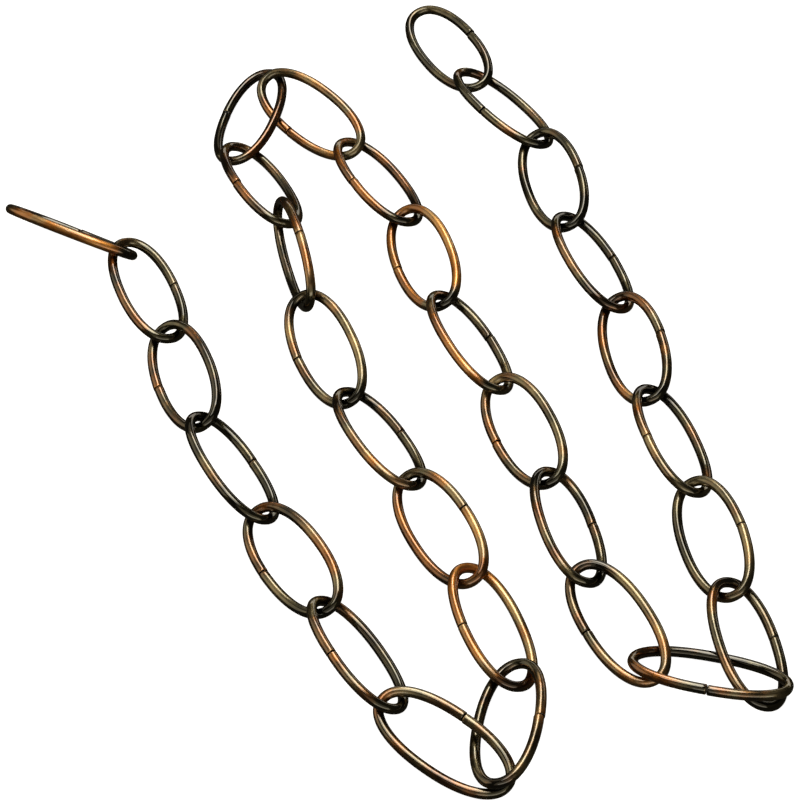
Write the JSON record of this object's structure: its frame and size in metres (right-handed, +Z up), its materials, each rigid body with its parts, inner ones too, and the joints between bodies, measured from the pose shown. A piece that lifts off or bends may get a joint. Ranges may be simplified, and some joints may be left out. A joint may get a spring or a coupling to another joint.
{
  "type": "oval link chain",
  "caption": "Length of oval-link chain in copper-finished steel wire with open butt joints, lying in a loose zigzag of parallel strands.",
  "frame": {"origin": "centre of the chain's outline as it lies, on the floor", "axes": "+Z up from the floor, +Y towards the back, along the way the strands run, +X to the right"},
  "size_m": [0.1882, 0.2682, 0.0168],
  "materials": {
    "antique_copper": "satin"
  },
  "bodies": {
    "root": {"link_01": "antique_copper", "link_02": "antique_copper", "link_03": "antique_copper", "link_04": "antique_copper", "link_05": "antique_copper", "link_06": "antique_copper", "link_07": "antique_copper", "link_08": "antique_copper", "link_09": "antique_copper", "link_10": "antique_copper", "link_11": "antique_copper", "link_12": "antique_copper", "link_13": "antique_copper", "link_14": "antique_copper", "link_15": "antique_copper", "link_16": "antique_copper", "link_17": "antique_copper", "link_18": "antique_copper", "link_19": "antique_copper", "link_20": "antique_copper", "link_21": "antique_copper", "link_22": "antique_copper", "link_23": "antique_copper", "link_24": "antique_copper", "link_25": "antique_copper", "link_26": "antique_copper", "link_27": "antique_copper", "link_28": "antique_copper", "link_29": "antique_copper", "link_30": "antique_copper", "link_31": "antique_copper"}
  },
  "joints": []
}
